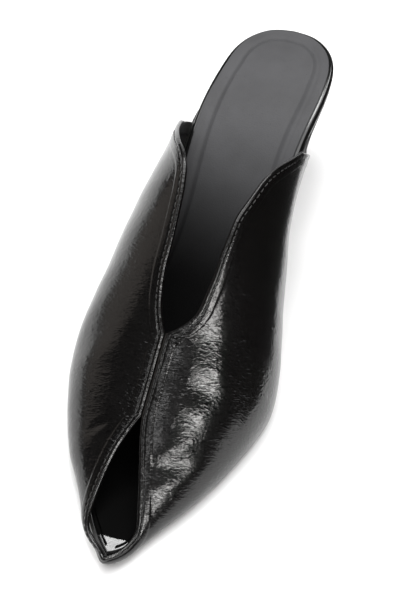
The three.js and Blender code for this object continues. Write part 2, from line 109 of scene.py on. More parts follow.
# The last's ridge from the toe tip to the open end. Columns: back; across, share of half the ball width;
# up, share of the ridge height.
CREST = [
    (0.9927, -0.1568, 0.1034), (0.9798, -0.1568, 0.117), (0.9555, -0.1568, 0.1443),
    (0.9231, -0.1568, 0.1864), (0.8826, -0.1545, 0.242), (0.834, -0.15, 0.3136), (0.7822, -0.1432, 0.4),
    (0.7247, -0.1205, 0.5045), (0.6664, -0.0955, 0.6182), (0.6073, -0.0409, 0.7614),
    (0.5547, 0.0114, 0.892), (0.5142, 0.0455, 0.983), (0.4818, 0.0682, 1.0511), (0.4494, 0.0909, 1.125),
    (0.419, 0.1023, 1.1875),
]
# Where the upper meets the sole, from the inner open end round the toe to the outer one. Columns: back;
# across; swell, how far the wall swells out above it.
FEATHER = [
    (0.2287, -0.712, -0.034), (0.2935, -0.698, 0.1), (0.3644, -0.689, 0.28), (0.4291, -0.714, 0.38),
    (0.4939, -0.785, 0.408), (0.5628, -0.893, 0.378), (0.6356, -0.974, 0.358), (0.7084, -0.974, 0.2924),
    (0.7731, -0.9076, 0.202), (0.8338, -0.7911, 0.14), (0.8858, -0.6265, 0.078),
    (0.9308, -0.4826, 0.098), (0.9608, -0.3637, 0.084), (0.9814, -0.2569, 0.022),
    (0.9976, -0.1568, 0.0136), (0.9777, 0.0139, 0.0142), (0.9388, 0.1508, 0.0283),
    (0.8938, 0.3115, 0.0456), (0.8443, 0.472, 0.0587), (0.7976, 0.6136, 0.0712),
    (0.7401, 0.7477, 0.0842), (0.6814, 0.85, 0.1043), (0.6194, 0.8523, 0.1264),
    (0.5506, 0.7705, 0.1651), (0.4858, 0.6727, 0.2228), (0.4251, 0.5864, 0.2873), (0.3644, 0.5295, 0.3),
    (0.2996, 0.5386, 0.2614), (0.2429, 0.5682, 0.2045),
]
# How far up towards the ridge the upper reaches. Columns: at, share of the way from the toe tip to the open
# end; inner side; outer side.
THROAT = [
    (0.5714, 1.0, 1.0), (0.606, 0.956, 0.898), (0.641, 0.927, 0.866), (0.676, 0.909, 0.846),
    (0.711, 0.901, 0.834), (0.746, 0.891, 0.817), (0.78, 0.881, 0.801), (0.815, 0.87, 0.777),
    (0.85, 0.857, 0.736), (0.88, 0.838, 0.697), (0.9, 0.822, 0.67), (0.92, 0.797, 0.64),
    (0.94, 0.757, 0.597), (0.96, 0.69, 0.535), (0.98, 0.54, 0.445), (1.0, 0.285, 0.33),
]
SLIT = [
    (0.0, 1.0, 1.0), (0.036, 0.84, 0.855), (0.071, 0.63, 0.69), (0.107, 0.5, 0.605),
    (0.143, 0.455, 0.625), (0.179, 0.485, 0.712), (0.214, 0.58, 0.795), (0.25, 0.685, 0.854),
    (0.286, 0.772, 0.896), (0.321, 0.843, 0.931), (0.357, 0.9, 0.961), (0.393, 0.952, 0.985),
    (0.4286, 1.0, 1.0),
]
# Outlines of the board and of the sole, from the seat to the toe. Columns: back; inner side; outer side.
BOARD_OUTLINE = [
    (0.0016, 0.0273, 0.0273), (0.0062, -0.1591, 0.2174), (0.0198, -0.3044, 0.3699),
    (0.0423, -0.4256, 0.4885), (0.0732, -0.5099, 0.5572), (0.1119, -0.5595, 0.5773),
    (0.1576, -0.6026, 0.5624), (0.2097, -0.6344, 0.5217), (0.267, -0.6434, 0.4904),
    (0.3285, -0.639, 0.4787), (0.3931, -0.6407, 0.4923), (0.4596, -0.6857, 0.5766),
    (0.5267, -0.779, 0.6792), (0.5931, -0.8808, 0.778), (0.6577, -0.9197, 0.7974),
    (0.7192, -0.9162, 0.7357), (0.7766, -0.8465, 0.6075), (0.8286, -0.7445, 0.459),
    (0.8744, -0.6009, 0.3129), (0.9131, -0.4789, 0.1787), (0.9439, -0.3672, 0.0718),
    (0.9664, -0.2638, -0.0019), (0.98, -0.1865, -0.0987), (0.9846, -0.1568, -0.1568),
]
SOLE_OUTLINE = [
    (0.0032, 0.0273, 0.0273), (0.0079, -0.1582, 0.2167), (0.0216, -0.3023, 0.368),
    (0.0443, -0.4225, 0.4845), (0.0754, -0.5043, 0.5507), (0.1145, -0.5532, 0.5681),
    (0.1607, -0.5956, 0.5515), (0.2132, -0.6712, 0.5266), (0.271, -0.6852, 0.5257),
    (0.3331, -0.6733, 0.504), (0.3983, -0.6793, 0.5253), (0.4653, -0.7296, 0.6136),
    (0.533, -0.8279, 0.7172), (0.6001, -0.928, 0.8141), (0.6653, -0.9559, 0.8241),
    (0.7274, -0.9473, 0.7462), (0.7852, -0.8697, 0.6157), (0.8377, -0.7507, 0.4614),
    (0.8839, -0.6013, 0.313), (0.9229, -0.4778, 0.1753), (0.9541, -0.3586, 0.0704),
    (0.9768, -0.2438, -0.0186), (0.9905, -0.1779, -0.1141), (0.9951, -0.1568, -0.1568),
]
# The heel from its top piece to the seat. Columns: rise, share of its height; back and front, shares of the
# length; half its width; how square it is.
HEEL = [
    (0.0, 0.066, 0.186, 0.325, 2.25), (0.06, 0.07, 0.183, 0.3, 2.2), (0.16, 0.078, 0.178, 0.248, 2.1),
    (0.28, 0.083, 0.174, 0.207, 2.0), (0.4, 0.083, 0.173, 0.192, 2.0), (0.52, 0.076, 0.175, 0.21, 2.0),
    (0.64, 0.062, 0.18, 0.257, 2.1), (0.76, 0.043, 0.187, 0.333, 2.15),
    (0.88, 0.025, 0.196, 0.425, 2.2), (1.0, 0.012, 0.205, 0.5, 2.2),
]
HEEL_ACROSS = 0.003


def smooth(at, values):
    """A smooth curve through the rows of a table: the natural cubic spline of one column."""
    at, values = np.asarray(at, float), np.asarray(values, float)
    step = np.diff(at)
    slope = np.diff(values) / step
    inside = np.arange(1, len(at) - 1)
    system = np.eye(len(at))
    system[inside, inside - 1] = step[:-1]
    system[inside, inside] = 2 * (step[:-1] + step[1:])
    system[inside, inside + 1] = step[1:]
    wanted = np.zeros(len(at))
    wanted[1:-1] = 6 * np.diff(slope)
    bend = np.linalg.solve(system, wanted)

    def curve(x):
        x = np.asarray(x, float)
        k = np.clip(np.searchsorted(at, x) - 1, 0, len(step) - 1)
        t = x - at[k]
        rate = slope[k] - step[k] * (2 * bend[k] + bend[k + 1]) / 6
        return values[k] + t * (rate + t * (bend[k] / 2 + t * (bend[k + 1] - bend[k]) / (6 * step[k])))

    return curve


def column(table, number, scale=1.0):
    return np.array(table)[:, number] * scale


def ease(low, high, x):
    """0 below low, 1 above high, and a soft step between them."""
    k = np.clip((x - low) / (high - low), 0, 1)
    return k * k * (3 - 2 * k)


def bump_at(x, middle, width):
    """A soft hump of height 1 at the middle, about twice the width across."""
    return np.exp(-(((x - middle) / width) ** 2))


def unit(v):
    return v / np.maximum(np.linalg.norm(v, axis=-1, keepdims=True), 1e-12)


bed_at = smooth(column(BED, 0, LENGTH), column(BED, 1, SEAT_HEIGHT))
crest_steps = np.linspace(0, 1, len(CREST))
crest_x = smooth(crest_steps, column(CREST, 1, HALF_BALL))
crest_y = smooth(crest_steps, column(CREST, 0, -LENGTH))
crest_z = smooth(crest_steps, column(CREST, 2, RIDGE_HEIGHT))
feather_steps = np.linspace(-1, 1, len(FEATHER))
feather_x = smooth(feather_steps, column(FEATHER, 1, HALF_BALL))
feather_y = smooth(feather_steps, column(FEATHER, 0, -LENGTH))
swell_at = smooth(feather_steps, column(FEATHER, 2, HALF_BALL))

# Where thicknesses start and finish changing between the toe and the seat, counted from the back.
WAIST_FRONT, WAIST_BACK = 0.6 * LENGTH, 0.3 * LENGTH


def bed(y):
    return bed_at(-y)


def by_part(y, toe, seat):
    """A thickness that goes from its value at the toe to its value at the seat along the waist."""
    return toe + (seat - toe) * ease(0, 1, (WAIST_FRONT + y) / (WAIST_FRONT - WAIST_BACK))


# The tread is flat on the floor where the sole would reach lower than this above it.
FLAT_MARGIN = 0.06


def sole_bottom(y):
    return np.maximum(0, bed(y) - by_part(y, SOLE_TREAD, SOLE_SEAT) - FLAT_MARGIN)


def board_top(y):
    return bed(y) + GAP + by_part(y, BOARD_TOE, BOARD_SEAT)


def sock_top(y):
    return board_top(y) + GAP + by_part(y, SOCK_TOE, SOCK_SEAT)


# Small steps in w and s, for the direction of the outline and of the surface.
EDGE_NUDGE, NUDGE = 1e-4, 1e-3
# Shape of a rib of the last, from the sole edge to the ridge.
RIB_RISE = 0.42
RIB_SPREAD = 0.72
RIB_LEAN = 0.3


def last(w, s):
    """Points of the last. w goes along the outline: -1 at the inner open end, 0 at the toe tip, 1 at the
    outer open end. s goes up the rib: 0 at the sole, 1 at the ridge. A rib is a cubic Bezier curve from
    the feather edge, out by the swell and up, then in to the ridge at the ridge's own height."""
    w, s = np.broadcast_arrays(np.asarray(w, float), np.asarray(s, float))
    a = np.abs(w)
    foot = np.stack([feather_x(w), feather_y(w), np.zeros_like(w)], -1)
    foot[..., 2] = bed(foot[..., 1]) + GAP
    ahead, behind = w + EDGE_NUDGE, w - EDGE_NUDGE
    run = unit(np.stack([feather_x(ahead) - feather_x(behind), feather_y(ahead) - feather_y(behind)], -1))
    out = np.stack([run[..., 1], -run[..., 0]], -1) * swell_at(w)[..., None]
    top = np.stack([crest_x(a), crest_y(a), crest_z(a)], -1)
    toe = ease(0, 1, (SLIT_TOP - a) / SLIT_TOP)
    low = foot.copy()
    low[..., :2] += out
    low[..., 1] += RIB_LEAN * (top[..., 1] - foot[..., 1]) * (1 - toe)
    low[..., 2] += RIB_RISE * (top[..., 2] - foot[..., 2])
    high = top.copy()
    high[..., 0] += RIB_SPREAD * (foot[..., 0] - top[..., 0] + out[..., 0] / 2)
    high[..., 1] += RIB_SPREAD * toe * (foot[..., 1] - top[..., 1] + out[..., 1] / 2)
    s = s[..., None]
    return (1 - s) ** 3 * foot + 3 * s * (1 - s) ** 2 * low + 3 * s * s * (1 - s) * high + s**3 * top


def outward(w, s):
    """Outward normal of the last: the cross product of a small step along it and a small step up it."""
    w, s = np.broadcast_arrays(np.asarray(w, float), np.asarray(s, float))
    run = last(np.minimum(w + NUDGE, 1), s) - last(np.maximum(w - NUDGE, -1), s)
    rise = last(w, np.minimum(s + NUDGE, 1)) - last(w, np.maximum(s - NUDGE, 0))
    return unit(np.cross(run, rise))


def trim(w):
    """How far up its rib the upper reaches at w."""
    a = np.abs(w)
    throat = [smooth(column(THROAT, 0), column(THROAT, k))(a) for k in (1, 2)]
    slit = [smooth(column(SLIT, 0), column(SLIT, k))(a) for k in (1, 2)]
    side = (np.asarray(w) > 0).astype(int)
    edge = np.where(a > THROAT_POINT, np.choose(side, throat), np.choose(side, slit))
    return np.where((a >= SLIT_TOP) & (a <= THROAT_POINT), 1.0, edge)


def grid_faces(rows, points, closed):
    """Quads between the rows of a grid, numbered row by row. Closed joins the last point of each row to its
    first."""
    i = np.arange(rows - 1)[:, None]
    j = np.arange(points if closed else points - 1)[None]
    k = (j + 1) % points
    corners = [i * points + j, i * points + k, (i + 1) * points + k, (i + 1) * points + j]
    return np.stack(corners, -1).reshape(-1, 4)


def volume(points, faces):
    """Six times the volume inside the faces: positive when they point outwards."""
    corners = points[faces]
    halves = [corners[:, (0, 1, 2)], corners[:, (0, 2, 3)]]
    return sum(np.einsum("ij,ij->i", h[:, 0], np.cross(h[:, 1], h[:, 2])).sum() for h in halves)


# Points closer than this, in metres, are one.
SAME_POINT = 1e-6


def make_piece(name, points, faces, materials, caps=(), uv=None, kinds=None, stands_for=()):
    """One object from points in the last's own millimetres, with its faces turned outwards."""
    points = (np.asarray(points, float).reshape(-1, 3) + TO_PART) * MM
    faces = np.asarray(faces)
    turned = volume(points - points.mean(0), faces) < 0
    rings = [list(map(int, cap)) for cap in caps]
    if turned:
        faces = faces[:, ::-1]
        rings = [ring[::-1] for ring in rings]
    mesh = bpy.data.meshes.new(name)
    mesh.from_pydata(points.tolist(), [], faces.tolist() + rings)
    for material in materials:
        mesh.materials.append(material)
    mesh.polygons.foreach_set("use_smooth", np.ones(len(mesh.polygons), bool))
    if kinds is not None:
        whole = np.concatenate([kinds, np.zeros(len(rings), int)]).astype(np.int32)
        mesh.polygons.foreach_set("material_index", whole)
    if uv is not None:
        corner = np.empty(len(mesh.loops), np.int32)
        mesh.loops.foreach_get("vertex_index", corner)
        layer = mesh.uv_layers.new(name="leather")
        layer.data.foreach_set("uv", np.asarray(uv, float).reshape(-1, 2)[corner].ravel() * MM)
    soft = bmesh.new()
    soft.from_mesh(mesh)
    bmesh.ops.remove_doubles(soft, verts=soft.verts, dist=SAME_POINT)
    soft.to_mesh(mesh)
    soft.free()
    made = added(name, mesh)
    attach(made, "root")
    if stands_for:
        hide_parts(*stands_for)
    return made


def feed(tree, made, inputs):
    """Sets a node's inputs; one given as another node's socket is linked."""
    for key, value in inputs.items():
        if isinstance(value, bpy.types.NodeSocket):
            tree.links.new(value, made.inputs[key])
        else:
            made.inputs[key].default_value = value


def node(tree, kind, inputs=None, **settings):
    """A shader node with its settings and inputs."""
    made = tree.nodes.new(kind)
    for name, value in settings.items():
        setattr(made, name, value)
    feed(tree, made, inputs or {})
    return made


def maths(tree, operation, *values):
    return node(tree, "ShaderNodeMath", dict(enumerate(values)), operation=operation).outputs[0]


def vectors(tree, operation, first, second):
    return node(tree, "ShaderNodeVectorMath", {0: first, 1: second}, operation=operation).outputs[0]


def noise(tree, place, scale, detail, roughness=0.5):
    inputs = {"Vector": place, "Scale": scale, "Detail": detail, "Roughness": roughness}
    return node(tree, "ShaderNodeTexNoise", inputs).outputs


def spread(tree, value, low, high, to_low=0.0, to_high=1.0):
    """A value between low and high, laid out between to_low and to_high with a soft step."""
    inputs = {"Value": value, "From Min": low, "From Max": high, "To Min": to_low, "To Max": to_high}
    return node(tree, "ShaderNodeMapRange", inputs, interpolation_type="SMOOTHSTEP").outputs["Result"]


def mixed(tree, factor, first, second):
    """The first colour, going over to the second with the factor."""
    return node(tree, "ShaderNodeMix", {0: factor, 6: first, 7: second}, data_type="RGBA").outputs[2]


def new_group(name, inputs, outputs):
    """An empty node group: its tree, its place input, all its inputs and its output node."""
    tree = bpy.data.node_groups.new(name, "ShaderNodeTree")
    tree.interface.new_socket(name="Place", in_out="INPUT", socket_type="NodeSocketVector")
    for side, labels in (("INPUT", inputs), ("OUTPUT", outputs)):
        for label in labels:
            tree.interface.new_socket(name=label, in_out=side, socket_type="NodeSocketFloat")
    given = tree.nodes.new("NodeGroupInput").outputs
    return tree, given["Place"], given, tree.nodes.new("NodeGroupOutput")


# The two layers of fine creases: the turn of each in radians, and its shift through the noise.
CREASE_LAYERS = ((0.16, 0.0), (-0.2, 7.3))
# How fine the noise is that bends the creases, and the fold's value on top of a pad.
DRIFT_SCALE, FOLD_TOP = 260.0, 0.16


def crinkle_group():
    """Fine creases of lacquered leather: two layers of noise drawn out across the foot, crossing at a small
    angle, each folded at its middle into sharp valleys between round pads."""
    tree, place, given, out = new_group("crinkle", ["Spacing", "Run", "Wander"], ["Height", "Valley"])
    stretch = node(tree, "ShaderNodeCombineXYZ", {
        "X": maths(tree, "DIVIDE", 1.0, given["Spacing"]),
        "Y": maths(tree, "DIVIDE", 1.0, given["Run"]),
        "Z": 1.0,
    })
    drift = noise(tree, place, DRIFT_SCALE, 1.0)["Color"]
    centred = vectors(tree, "SUBTRACT", drift, (0.5, 0.5, 0.5))
    push = node(tree, "ShaderNodeVectorMath", {0: centred, "Scale": given["Wander"]}, operation="SCALE")
    layers = []
    for angle, shift in CREASE_LAYERS:
        turned = node(tree, "ShaderNodeVectorRotate", {"Vector": place, "Angle": angle},
                      rotation_type="Z_AXIS")
        scaled = vectors(tree, "MULTIPLY", turned.outputs[0], stretch.outputs[0])
        moved = vectors(tree, "ADD", scaled, push.outputs[0])
        shifted = vectors(tree, "ADD", moved, (shift, shift, shift))
        grain = noise(tree, shifted, 0.8, 1.5, 0.55)["Fac"]
        fold = maths(tree, "ABSOLUTE", maths(tree, "SUBTRACT", grain, 0.5))
        layers.append(spread(tree, fold, 0.0, FOLD_TOP))
    first = maths(tree, "ADD", layers[0], 0.35)
    second = maths(tree, "ADD", layers[1], 0.6)
    valley = maths(tree, "SUBTRACT", 1.0, maths(tree, "MULTIPLY", *layers))
    feed(tree, out, {"Height": maths(tree, "MULTIPLY", first, second), "Valley": valley})
    return tree


def pores_group():
    """Small round pores and a fine pebble: rounded cells with a little noise over them."""
    tree, place, given, out = new_group("pores", ["Scale"], ["Height", "Pit"])
    scale = given["Scale"]
    cells = node(tree, "ShaderNodeTexVoronoi", {"Vector": place, "Scale": scale}, feature="SMOOTH_F1")
    far = cells.outputs["Distance"]
    fine = noise(tree, place, maths(tree, "MULTIPLY", scale, 1.7), 3.0)["Fac"]
    height = maths(tree, "ADD", maths(tree, "SUBTRACT", 1.0, far), maths(tree, "MULTIPLY", fine, 0.5))
    feed(tree, out, {"Height": height, "Pit": spread(tree, far, 0.0, 0.22, 1.0, 0.0)})
    return tree


def cloud_group():
    """Soft unevenness of a dyed or handled surface: slow noise, and a finer one over it."""
    tree, place, given, out = new_group("cloud", ["Size"], ["Value"])
    scale = maths(tree, "DIVIDE", 1.0, given["Size"])
    slow = noise(tree, place, scale, 2.0)["Fac"]
    quick = noise(tree, place, maths(tree, "MULTIPLY", scale, 4.3), 3.0)["Fac"]
    both = maths(tree, "ADD", maths(tree, "MULTIPLY", slow, 0.7), maths(tree, "MULTIPLY", quick, 0.3))
    feed(tree, out, {"Value": spread(tree, both, 0.32, 0.68)})
    return tree


CRINKLE = crinkle_group()
PORES = pores_group()
CLOUD = cloud_group()


def placed(tree, group, **inputs):
    """One of the shared groups, placed in a material with its own values."""
    made = node(tree, "ShaderNodeGroup", node_tree=group)
    feed(tree, made, inputs)
    return made.outputs


def new_material(name):
    """A material, its tree, its Principled shader, and the place on the object for its textures."""
    made = bpy.data.materials.new(name)
    made.use_nodes = True
    tree = made.node_tree
    return made, tree, tree.nodes["Principled BSDF"], node(tree, "ShaderNodeTexCoord").outputs["Object"]


def raised(tree, shader, height, depth, normal=None):
    """Gives the shader a bump of that depth in metres, over an earlier one if there is one."""
    inputs = {"Height": height, "Distance": depth, "Strength": 1.0}
    if normal is not None:
        inputs["Normal"] = normal
    bump = node(tree, "ShaderNodeBump", inputs).outputs[0]
    feed(tree, shader, {"Normal": bump})
    return bump


def crinkled_leather(name, spacing, depth, gloss):
    """Black lacquered leather: glossy pads, duller and a little paler in the valleys of its creases."""
    made, tree, shader, solid = new_material(name)
    place = node(tree, "ShaderNodeUVMap", uv_map="leather").outputs[0]
    crinkle = placed(tree, CRINKLE, Place=place, Spacing=spacing, Run=spacing * 4.2, Wander=0.9)
    broad = placed(tree, CRINKLE, Place=place, Spacing=spacing * 3.1, Run=spacing * 9, Wander=1.4)
    cloud = placed(tree, CLOUD, Place=solid, Size=0.028)
    pores = placed(tree, PORES, Place=solid, Scale=2600.0)
    black = mixed(tree, cloud["Value"], (0.001, 0.0009, 0.0009, 1), (0.0018, 0.0016, 0.0015, 1))
    worn = mixed(tree, maths(tree, "MULTIPLY", crinkle["Valley"], 0.5), black, (0.0042, 0.0038, 0.0036, 1))
    rough = maths(tree, "ADD", maths(tree, "MULTIPLY", crinkle["Valley"], 0.08),
                  maths(tree, "MULTIPLY", cloud["Value"], 0.04))
    feed(tree, shader, {"Base Color": worn, "Roughness": maths(tree, "ADD", rough, gloss)})
    first = raised(tree, shader, broad["Height"], depth * 1.1)
    second = raised(tree, shader, crinkle["Height"], depth, first)
    raised(tree, shader, pores["Height"], 0.000006, second)
    return made


# How much of a pore's darker colour shows.
PIT_SHARE = 0.35


def plain_leather(name, dark, light, gloss, scale, depth, size=0.02, shine=0.5):
    """Smooth or matte leather: fine pores, and a colour that drifts a little over the surface."""
    made, tree, shader, solid = new_material(name)
    pores = placed(tree, PORES, Place=solid, Scale=scale)
    cloud = placed(tree, CLOUD, Place=solid, Size=size)
    base = mixed(tree, cloud["Value"], (*dark, 1), (*light, 1))
    in_pits = maths(tree, "MULTIPLY", pores["Pit"], PIT_SHARE)
    pitted = mixed(tree, in_pits, base, tuple(0.5 * c for c in dark) + (1,))
    rough = maths(tree, "ADD", maths(tree, "MULTIPLY", cloud["Value"], 0.08), gloss)
    feed(tree, shader, {"Base Color": pitted, "Roughness": rough, "Specular IOR Level": shine})
    raised(tree, shader, pores["Height"], depth)
    return made


# Where the sock's painted shade, near black at the front, fades into its charcoal, in metres along the
# shoe.
SOCK_PAINTED_SHADE_FADE = (0.0, 0.070)


def sock_material():
    """Fine matte leather, charcoal where the heel rests. Towards the toe its colour is painted darker, near
    black, as shade deep in the shoe, and it is duller there.
    """
    made, tree, shader, solid = new_material("sock_leather")
    along = node(tree, "ShaderNodeSeparateXYZ", {0: solid}).outputs["Y"]
    # 0 at the front and 1 at the seat: how far the sock is out of its painted shade.
    seat = spread(tree, along, *SOCK_PAINTED_SHADE_FADE)
    pores = placed(tree, PORES, Place=solid, Scale=1500.0)
    cloud = placed(tree, CLOUD, Place=solid, Size=0.03)
    charcoal = mixed(tree, cloud["Value"], (0.054, 0.054, 0.056, 1), (0.066, 0.066, 0.069, 1))
    # Painted shade: the colour goes from charcoal to near black towards the toe, standing in for the shade
    # deep inside the shoe.
    base = mixed(tree, seat, (0.002, 0.002, 0.0021, 1), charcoal)
    in_pits = maths(tree, "MULTIPLY", pores["Pit"], PIT_SHARE)
    pitted = mixed(tree, in_pits, base, (0.002, 0.002, 0.002, 1))
    rough = maths(tree, "SUBTRACT", 0.75, maths(tree, "MULTIPLY", seat, 0.25))
    feed(tree, shader, {"Base Color": pitted, "Roughness": rough, "Specular IOR Level": 0.10})
    raised(tree, shader, pores["Height"], 0.00004)
    return made


def thread_material():
    """Waxed black thread: a twist of fine diagonal strands."""
    made, tree, shader, solid = new_material("thread")
    strands = node(tree, "ShaderNodeTexWave", {"Vector": solid, "Scale": 900.0, "Distortion": 1.0},
                   bands_direction="DIAGONAL")
    tone = mixed(tree, strands.outputs["Fac"], (0.006, 0.006, 0.006, 1), (0.03, 0.029, 0.028, 1))
    feed(tree, shader, {"Base Color": tone, "Roughness": 0.38})
    raised(tree, shader, strands.outputs["Fac"], 0.00004)
    return made


def rubber_material():
    """Black moulded rubber with a fine matte texture."""
    made, tree, shader, solid = new_material("top_piece_rubber")
    pores = placed(tree, PORES, Place=solid, Scale=1100.0)
    cloud = placed(tree, CLOUD, Place=solid, Size=0.012)
    tone = mixed(tree, cloud["Value"], (0.01, 0.01, 0.01, 1), (0.022, 0.021, 0.02, 1))
    feed(tree, shader, {"Base Color": tone, "Roughness": 0.62})
    raised(tree, shader, pores["Height"], 0.00003)
    return made


def floor_material():
    """White paper, faintly uneven."""
    made, tree, shader, solid = new_material("floor_paper")
    cloud = placed(tree, CLOUD, Place=solid, Size=0.6)
    tone = mixed(tree, cloud["Value"], (0.9, 0.9, 0.9, 1), (0.92, 0.92, 0.92, 1))
    feed(tree, shader, {"Base Color": tone, "Roughness": 0.9, "Specular IOR Level": 0.2})
    return made


OUTSIDE = crinkled_leather("upper_leather", spacing=0.00095, depth=0.000025, gloss=0.11)
FACING = crinkled_leather("facing_leather", spacing=0.00120, depth=0.000012, gloss=0.22)
LINING = plain_leather("lining_leather", (0.008, 0.008, 0.008), (0.014, 0.013, 0.013),
                       gloss=0.5, scale=1700.0, depth=0.00003)
SOCK = sock_material()
# Near-black, dull leather with almost no shine for the front of the sock: painted shade for the dark inside
# of the toe.
TOE_PAINTED_SHADE = plain_leather("toe_painted_shade_leather", (0.0012, 0.0012, 0.0012), (0.002, 0.0019, 0.0019),
                           gloss=0.8, scale=1500.0, depth=0.00003, shine=0.03)
WRAP = plain_leather("wrap_leather", (0.004, 0.004, 0.004), (0.006, 0.006, 0.006),
                     gloss=0.10, scale=1900.0, depth=0.000012)
UNDERSIDE = plain_leather("outsole_leather", (0.011, 0.011, 0.011), (0.02, 0.019, 0.018),
                          gloss=0.36, scale=1300.0, depth=0.00004)
LACQUER = plain_leather("heel_lacquer", (0.004, 0.004, 0.004), (0.007, 0.007, 0.007),
                        gloss=0.15, scale=1600.0, depth=0.000025)
THREAD = thread_material()
RUBBER = rubber_material()

# Steps along each half of the upper, from the toe tip to the open end: from, to, how many.
STRETCHES = [
    (0.0, 0.06, 18),
    (0.06, SLIT_TOP, 70),
    (SLIT_TOP, THROAT_POINT, 22),
    (THROAT_POINT, 0.9, 72),
    (0.9, 1.0, 36),
]
EDGE_ROUND = WALL / 2
STITCH_LINE = 2.1
FOLD = 5.2
# Distances of the first rows from the edge: close together over the fold and its stitching.
NEAR_EDGE = np.array([
    EDGE_ROUND, 1.25, 1.55, 1.85, STITCH_LINE, 2.35, 2.65, 3.0, 3.5, 4.0, 4.4, 4.7, 5.0, 5.3, 5.6, 6.0, 6.6,
])
# Which of those rows the stitches and the facing's border follow, and which of them the inside repeats.
STITCH_ROW = 4
FACING_ROW = 13
INSIDE_ROWS = [0, 2, 4, 6, 8, 10, 12, 13, 14, 16]
# Rows below those, and every how many of them the inside repeats.
REST_ROWS = 64
INSIDE_SKIP = 3
# Steps round the edge, and round the two open ends.
EDGE_TURN = np.linspace(0, math.pi, 15)[1:-1]
END_TURN = np.radians([25, 50, 70, 84])
# The groove between the two plies of the edge: its depth as a share of the radius, its width in radians.
PLY_GROOVE, PLY_WIDTH = 0.24, 0.24
# Relief in millimetres: the facing over the lining, the turned edge, the pull of the stitches, the seam.
LINING_DEEPER = 0.45
FOLD_RISE, FOLD_SOFT = 0.2, 0.35
STITCH_DIP, STITCH_WIDE = 0.16, 0.42
SEAM_PRESS = 0.03
# The slow waves start this far from the edge and are whole at the second distance.
WAVES_FROM_TO = (3, 14)
# Nearer to the toe tip than this the two sides share one normal.
TIP_BLEND = 0.004
# Steps along a rib and along an open end when they are measured, and between points of the border.
RIB_STEPS, END_STEPS, BORDER_STEP = 260, 40, 0.25
# How far the first rows may lean from square to the edge, and how much of a short rib they may take.
SLANT_LEAST, NEAR_SHARE = 0.3, 0.7

# Creases pressed into the upper: the ends and middle of each as (w, s), its width and its depth in
# millimetres.
CREASES = [
    ([(-0.41, 0.83), (-0.40, 0.75), (-0.385, 0.64)], 1.6, 0.25),
    ([(0.53, 0.99), (0.5, 0.85), (0.5, 0.60)], 4.6, 0.55),
    ([(0.33, 0.94), (0.345, 0.75), (0.395, 0.58)], 4.2, 0.50),
    ([(0.60, 0.62), (0.55, 0.56), (0.49, 0.47)], 5.0, 0.35),
    ([(-0.62, 0.80), (-0.56, 0.62), (-0.52, 0.42)], 6.0, 0.30),
]

# How many points are measured at a time, to save memory.
SLICE = 2000


def distance_to(points, line):
    """Distance from each point to the nearest point of a line, and that point's number."""
    flat = points.reshape(-1, 3)
    near, which = [], []
    for part in np.array_split(flat, max(1, len(flat) // SLICE)):
        gap = ((part[:, None] - line[None]) ** 2).sum(2)
        which.append(gap.argmin(1))
        near.append(np.sqrt(gap.min(1)))
    return [np.concatenate(found).reshape(points.shape[:-1]) for found in (near, which)]


def distances(line):
    """Distance along a line to each of its points."""
    return np.concatenate([[0], np.cumsum(np.linalg.norm(np.diff(line, axis=0), axis=1))])


def between(at, run, line):
    """Values of a line at distances along it. run holds the distance of each of its points."""
    return np.stack([np.interp(at, run, line[:, k]) for k in range(3)], 1)


def refined(line, spacing):
    """The same line with a point every so many millimetres."""
    run = distances(line)
    return between(np.linspace(0, run[-1], max(2, int(run[-1] / spacing))), run, line)


# Columns: radians per millimetre along the shoe and up its side; phase; height.
WAVES = [
    (0.33, 0.05, 0.2, 0.05), (0.21, -0.09, 1.9, 0.07), (0.12, 0.16, 4.0, 0.08), (0.48, 0.12, 2.6, 0.025),
]


def slow_waves(u, v):
    """The soft unevenness of a lasted skin: the sum of a few long sine waves, in millimetres."""
    return sum(size * np.sin(a * u + b * v + phase) for a, b, phase, size in WAVES)


